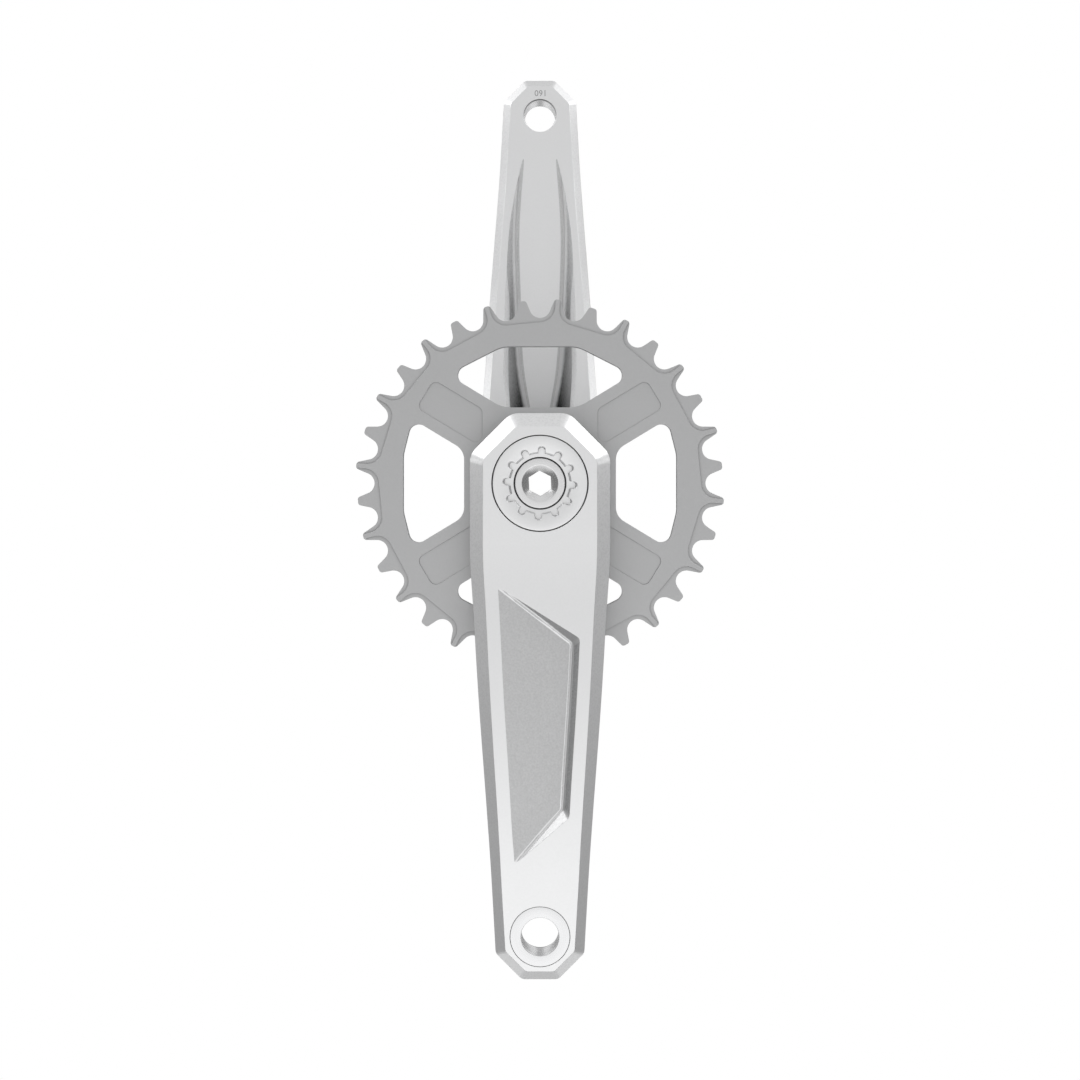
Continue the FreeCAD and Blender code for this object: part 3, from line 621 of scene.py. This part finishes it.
def pedal_insert(name, side, hand):
    """Ring with a bevelled mouth at both ends of its thread."""
    root = pedal_crest + pedal_thread_height
    corners, reach = profile_of([
        (root, side * insert_seat, 0.1),
        (insert_radius, side * insert_seat, 0.2),
        (insert_radius, side * insert_face, 0.15),
        (root, side * insert_face, 0.12),
    ], insert_angles)
    outside = eased(corners, reach)
    thread = thread_rows(
        side * (insert_face + mouth_reach), side * (insert_seat - mouth_reach),
        pedal_crest, pedal_thread_height, pedal_pitch, hand, insert_angles)
    return round_piece(name, np.concatenate([outside, thread]), insert_angles, side * pedal_z)


stand_for(pedal_insert("threaded_insert", 1, 1), "drive_pedal_insert",
          drive_insert_finish)
stand_for(pedal_insert("far_threaded_insert", -1, -1), "nondrive_pedal_insert",
          far_insert_finish)

# %% [markdown]
# ## Crank bolt
#
# The bolt is hollow, with an 8 mm hexagon socket behind a bevelled mouth. The hexagon is again
# one radius for each angle: the half width over the cosine of the angle from the nearest flat.
# The mouth's cone meets it sooner at a corner than on a flat, which gives the arched edge that
# such sockets have.

# %% Bolt

bolt_low, bolt_high = (np.array(corner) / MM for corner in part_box("crank_bolt"))
flange_radius = bolt_high[0]
nose_end, shank_end = bolt_low[1], bolt_high[1]
flange_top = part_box("extractor_washer")[1].y / MM
flange_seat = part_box("bolt_washer")[0].y / MM
nose_radius = 9.0
shank_radius = 9.15
socket_half = 4.0
socket_turn = 2.5
socket_depth = 10.0
mouth_radius = 6.6
mouth_slope = math.tan(math.radians(30))
hollow_radius = 5.2
bolt_pitch = 1.0
bolt_thread_depth = 0.55
thread_end_gap = 0.6
thread_start_gap = 1.0

bolt_angles = np.radians(90 + socket_turn) + np.linspace(0, 2 * np.pi, 240, endpoint=False)


def hexagon_radius(angles):
    """Half width / cos(angle from the nearest flat's middle)."""
    from_corner = (angles - np.radians(90 + socket_turn)) % (np.pi / 3)
    return socket_half / np.cos(from_corner - np.pi / 6)


hexagon = hexagon_radius(bolt_angles)
socket_end = nose_end + socket_depth
bolt_corners, bolt_reach = profile_of([
    (flange_radius, flange_seat, 0.2),
    (flange_radius, flange_top, 0.3),
    (nose_radius, flange_top, 0.2),
    (nose_radius, nose_end, 0.4),
    (mouth_radius, nose_end, 0.2),
    (hexagon, nose_end + mouth_slope * (mouth_radius - hexagon), 0.08),
    (hexagon, socket_end, 0.05),
    (hollow_radius, socket_end, 0.1),
    (hollow_radius, shank_end, 0.3),
    (shank_radius - bolt_thread_depth, shank_end, 0.1),
], bolt_angles)
shank = thread_rows(
    shank_end - thread_end_gap, flange_seat + thread_start_gap,
    shank_radius - bolt_thread_depth, bolt_thread_depth, bolt_pitch, 1, bolt_angles)
bolt = round_piece(
    "hollow_bolt", np.concatenate([eased(bolt_corners, bolt_reach), shank]), bolt_angles)
stand_for(bolt, "crank_bolt", bolt_finish)

# %% [markdown]
# ## Length mark
#
# Crank arms carry their length, which is lightly etched beside the pedal's eye. We write the
# number as flat text, turn it into a mesh, and lay it on the far arm's inner face. Seen from
# the drive side the far arm stands on its head, so the number does too. Its height over the
# face is a few hundredths of a millimetre, which is enough to keep the two surfaces apart.

# %% Mark

mark_text = "160"
mark_size = 3.7
mark_middle_z = 169.7
mark_height = 0.02


def mesh_places(mesh):
    """The mesh's corners as an array of x, y and z in metres."""
    places = np.empty(len(mesh.vertices) * 3)
    mesh.vertices.foreach_get("co", places)
    return places.reshape(-1, 3)


def etched_metal(name, colour, roughness, pit_size):
    """Plain metal that small etched pits make uneven in roughness."""
    material, graph = new_finish(name)
    pits = graph.noise(place_on_object(graph), pit_size)
    surface(graph, graph.add("ShaderNodeBsdfPrincipled", {}, {
        "Base Color": opaque(colour), "Metallic": 1.0,
        "Roughness": roughness + 0.1 * (pits - 0.5)}))
    return material


def length_mark():
    """Text (u, v) on the face: (x, y, z) = (middle - u, face - height, middle - v)."""
    words = bpy.data.curves.new("mark words", "FONT")
    words.body = mark_text
    words.size = mark_size * MM
    words.extrude = mark_height * MM
    words.resolution_u = 3
    written = bpy.data.objects.new("mark words", words)
    bpy.context.scene.collection.objects.link(written)
    evaluated = written.evaluated_get(bpy.context.evaluated_depsgraph_get())
    mesh = bpy.data.meshes.new_from_object(evaluated)
    bpy.data.objects.remove(written)
    flat = mesh_places(mesh)
    u, v, w = (flat - (flat.max(axis=0) + flat.min(axis=0)) / 2).T
    arm = mesh_places(nodes["nondrive_arm"].data)
    face = arm[arm[:, 2] > mark_middle_z * MM][:, 1].min()
    places = np.stack([-u, face - w, mark_middle_z * MM - v], axis=-1)
    mesh.vertices.foreach_set("co", places.ravel())
    mesh.update()
    mark = bpy.data.objects.new("length_mark", mesh)
    bpy.context.scene.collection.objects.link(mark)
    print("mark", np.round(np.ptp(places, axis=0) / MM, 2), "mm at y", round(face / MM, 2))
    return mark


mark = length_mark()
mark.data.materials.clear()
mark.data.materials.append(etched_metal("etched mark", (0.42, 0.42, 0.425), 0.5, 0.15 * MM))
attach(mark, "root")

# %% [markdown]
# ## Camera
#
# The photograph looks straight along the spindle from the drive side. The near arm looks larger
# than the far one, and both are equally long, so that ratio gives the camera's distance. The
# spindle lies a little above the picture's middle, which is a shift of the lens: a tilt would
# make the long edges lean.

# %% Camera

PICTURE = 1080
SENSOR = 36.0
camera_distance = 752.4 * MM
focal_pixels = 1892
spindle_row = 483.3

camera_data = bpy.data.cameras.new("camera")
camera_data.sensor_width = SENSOR
camera_data.lens = SENSOR * focal_pixels / PICTURE
camera_data.shift_y = (spindle_row - PICTURE / 2) / PICTURE
camera_data.clip_start = 0.01
camera = bpy.data.objects.new("camera", camera_data)
bpy.context.scene.collection.objects.link(camera)
camera.location = (0, -camera_distance, 0)
camera.rotation_euler = (math.radians(90), 0, 0)
bpy.context.scene.camera = camera
print("lens", round(camera_data.lens, 2), "mm, shift", round(camera_data.shift_y, 4))

# %% [markdown]
# ## A light tent
#
# Metal shows what stands around it. Photographers put small metal things into a tent of white
# cloth and hang dark flags beside the camera, so that flat faces are light and what leans away
# from them is drawn in greys. The tent here is a sphere that only reflections see. Its
# brightness is a formula of the place on it: a run of values for the front, another for the
# sides, two dark flags and two bright strips at their own turns from the camera, and a calm
# roof and ground.

# %% Tent

tent_radius = 0.70
front_flag = 0.14
rear_flag = 0.12
rear_strip = 0.85


def tent_points(rows=24, columns=48):
    """Sphere: z = r sin(v), and x, y = r cos(v) (cos u, sin u)."""
    v = np.linspace(-np.pi / 2, np.pi / 2, rows)[:, None]
    u = np.linspace(0, 2 * np.pi, columns, endpoint=False)[None, :]
    return tent_radius * np.stack([
        np.cos(v) * np.cos(u), np.cos(v) * np.sin(u), np.sin(v) * np.ones_like(u)], axis=-1)


def tent_glow():
    """Brightness by place: depth and height as shares of the radius, and the turn in degrees."""
    material, graph = new_finish("tent cloth")
    x, depth, height = (part / tent_radius for part in place_on_object(graph).parts())
    aside = abs(x)
    turn = aside.math("ARCTAN2", aside, 0 - depth) * (180 / math.pi)

    def band(start, full, fading, end):
        """1 between two turns from the front, in degrees, with soft borders."""
        return graph.ramp(turn, start, full) * graph.ramp(turn, end, fading)

    def towards(level, glow, share):
        """A glow that is led to another level by a share."""
        return glow + share * (level - glow)

    above = graph.ramp(height, 0.40, 0.53)
    below_top = 1 - above
    near = graph.ramp(depth, 0.12, -0.03)

    # The front is lightest below, with a faint light belt at the object's own height
    front = graph.ramp(height, -0.52, 0.08, 1.10, 0.70)
    front = front + 0.10 * graph.ramp(height, -0.12, 0) * graph.ramp(height, 0.15, 0.05)

    # The sides are grey, and bright above: beside the camera, and high up behind the object
    side = graph.ramp(height, -0.10, -0.35, 0.45, 0.39)
    side = side + 2.8 * above * near * graph.ramp(turn, 53, 63)
    side = side + 1.1 * graph.ramp(height, 0.60, 0.80) * (1 - near)
    glow = towards(side, front, graph.ramp(turn, 30, 60))

    # Flag beside the camera, strip for the far arm's bevels, second flag and rear strip
    glow = towards(front_flag, glow, band(34, 44, 58, 68) * below_top)
    strip = graph.ramp(height, 0.18, 0.38, 2.5, 0.35)
    strip_share = band(90, 96, 104, 110) * graph.ramp(height, 0.05, 0.17) * below_top
    glow = towards(strip, glow, strip_share)
    glow = towards(rear_flag, glow, band(110, 120, 135, 150) * below_top)
    glow = towards(rear_strip, glow, band(150, 158, 168, 176) * below_top)

    # The roof is darker at the back, and the ground in the middle and in front at the sides
    roof = graph.ramp(depth, 0.0, 0.3, 0.78, 0.60)
    glow = towards(roof, glow, graph.ramp(height, 0.72, 0.92))
    ground = graph.ramp(aside, 0.15, 0.45, 0.56, 0.98)
    corner = graph.ramp(aside, 0.15, 0.35) * graph.ramp(depth, -0.08, -0.25)
    ground = ground * (1 - 0.9 * corner)
    glow = towards(ground, glow, graph.ramp(height, -0.62, -0.85))
    surface(graph, graph.add("ShaderNodeEmission", {}, {"Strength": glow}))
    return material


tent = surface_mesh("tent", tent_points(), wrap_v=True)
tent.data.materials.append(tent_glow())
tent.visible_camera = False
tent.visible_diffuse = False
tent.visible_transmission = False
tent.visible_shadow = False
print("tent", len(tent.data.polygons), "faces, radius", tent_radius, "m")

# %% [markdown]
# ## Floor, background and lamp
#
# The background is pure white, so the floor and the world show white to the camera and to
# reflections, and keep their own plain level for the light that they give. One large lamp
# above the camera gives the plastic and the dark pieces their soft shading. The metal doesn't
# mirror the lamp, because the tent does that work.

# %% Floor, world and lamp

floor_height = -0.75
floor_reach = 6.0
lamp_size = 1.2
lamp_watts = 12
lamp_forward = 0.9
lamp_height = 1.2


def seen_directly(graph):
    """1 for a ray from the camera, a reflection or a view through glass, and 0 for others."""
    camera_ray = graph.add("ShaderNodeLightPath", {}, {}, "Is Camera Ray")
    glossy_ray = camera_ray.beside("Is Glossy Ray")
    return camera_ray.larger(glossy_ray).larger(camera_ray.beside("Is Transmission Ray"))


def floor_points():
    """Flat square: x and y run over its reach, and z is the floor's height."""
    x, y = np.meshgrid([-floor_reach, floor_reach], [-floor_reach, floor_reach], indexing="ij")
    return np.stack([x, y, np.full_like(x, floor_height)], axis=-1)


def floor_paint():
    material, graph = new_finish("floor paint")
    paint = graph.add("ShaderNodeBsdfPrincipled", {}, {
        "Base Color": [0.8, 0.8, 0.8, 1], "Roughness": 0.8})
    white = graph.add("ShaderNodeEmission", {}, {"Strength": 1.0})
    surface(graph, graph.add("ShaderNodeMixShader", {}, {
        "Fac": seen_directly(graph), 1: paint, 2: white}))
    return material


floor = surface_mesh("floor", floor_points())
floor.data.materials.append(floor_paint())

world = bpy.data.worlds.new("studio")
world.use_nodes = True
bpy.context.scene.world = world
room = Graph(world.node_tree)
room.add("ShaderNodeOutputWorld", {}, {"Surface": room.add("ShaderNodeBackground", {}, {
    "Color": [1, 1, 1, 1], "Strength": room.ramp(seen_directly(room), 0, 1, 0.6, 1.0)})})

lamp_data = bpy.data.lights.new("softbox", "AREA")
lamp_data.shape = "DISK"
lamp_data.size = lamp_size
lamp_data.energy = lamp_watts
lamp = bpy.data.objects.new("softbox", lamp_data)
bpy.context.scene.collection.objects.link(lamp)
lamp.location = (0, -lamp_forward, lamp_height)
lamp.rotation_euler = (math.atan2(lamp_forward, lamp_height), 0, 0)
lamp.visible_glossy = False

bpy.context.scene.view_settings.view_transform = "Standard"
print("lamp", lamp_watts, "W, floor at", floor_height, "m")
